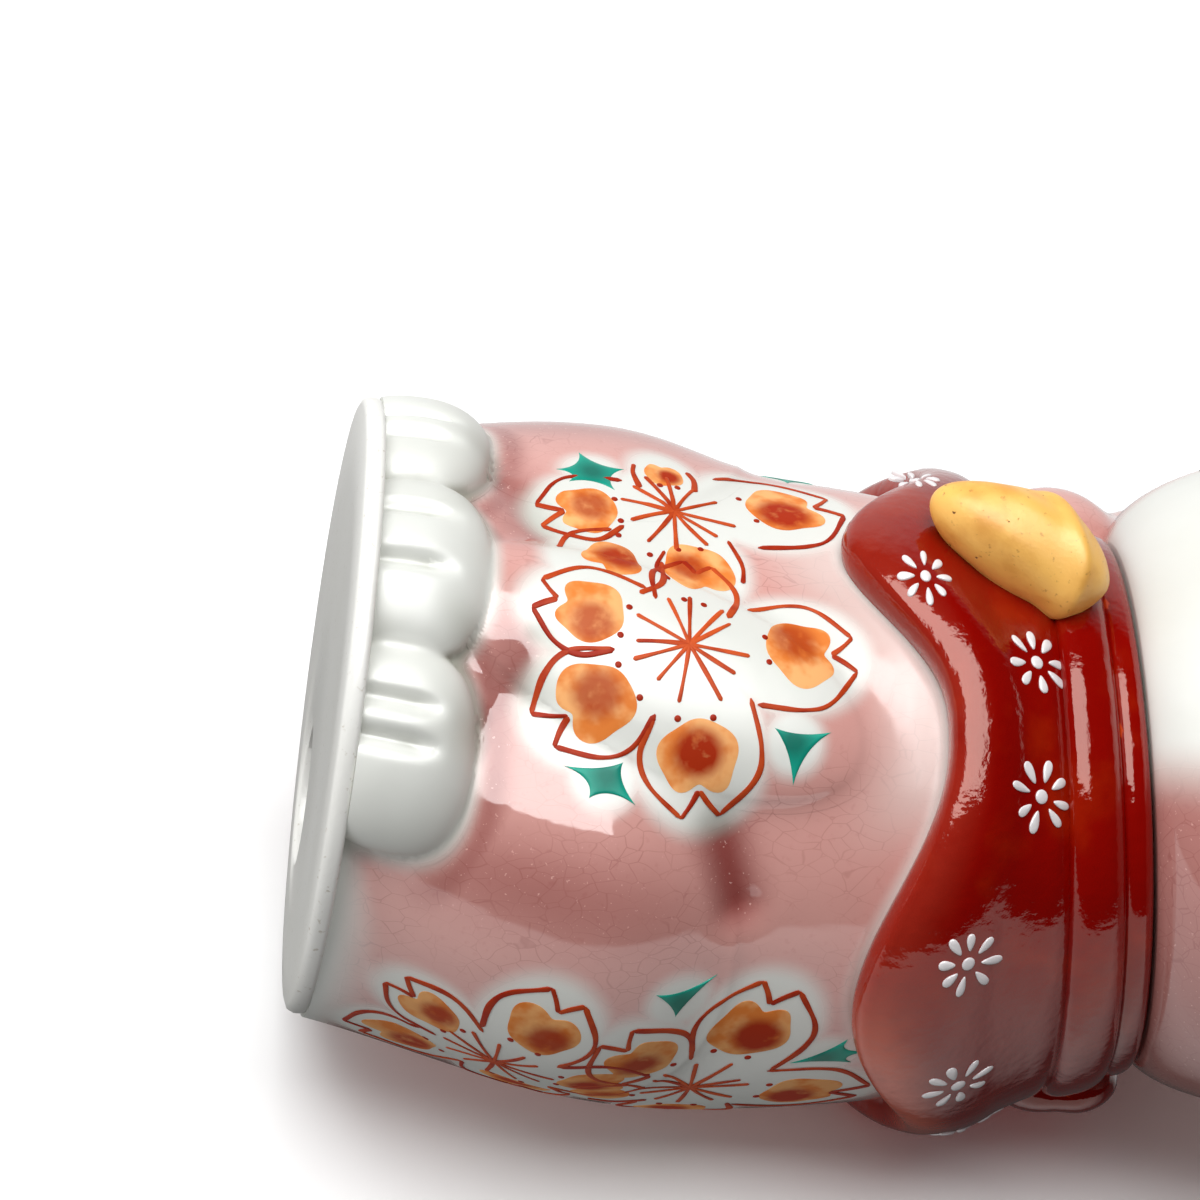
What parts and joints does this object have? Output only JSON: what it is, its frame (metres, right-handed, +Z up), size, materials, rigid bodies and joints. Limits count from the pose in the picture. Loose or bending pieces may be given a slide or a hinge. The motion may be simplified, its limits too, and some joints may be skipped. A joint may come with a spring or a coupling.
{
  "type": "lucky cat figurine",
  "caption": "Hollow porcelain lucky cat figurine, seated with its right paw raised, with a lobed bib, collar, bell and bow, a flat base and a drain hole.",
  "frame": {"origin": "middle of the flat underside that the figurine stands on", "axes": "+Z up through the head, -Y the way the cat's paws face, +X toward the cat's left"},
  "size_m": [0.1129, 0.0944, 0.1809],
  "materials": {
    "bare_clay": "unglazed white porcelain, smooth and matt",
    "white_glaze": "clear gloss glaze over white porcelain",
    "pink_glaze": "gloss pink glaze with fine crackle, darker where it pools",
    "red_enamel": "gloss iron-red overglaze enamel",
    "gold_enamel": "matt burnished gold overglaze"
  },
  "bodies": {
    "root": {"base_floor": "bare_clay", "body_shell": "pink_glaze", "left_haunch": "pink_glaze", "right_haunch": "pink_glaze", "left_foreleg": "pink_glaze", "left_forepaw": "white_glaze", "left_hind_paw": "white_glaze", "right_hind_paw": "white_glaze", "tail": "pink_glaze", "head_shell": "white_glaze", "left_ear": "pink_glaze", "right_ear": "pink_glaze", "raised_arm": "pink_glaze", "raised_paw": "white_glaze", "bib": "red_enamel", "collar_band": "red_enamel", "collar_piping": "red_enamel", "bell": "gold_enamel", "bow_knot": "red_enamel", "left_bow_loop": "red_enamel", "right_bow_loop": "red_enamel"}
  },
  "joints": []
}
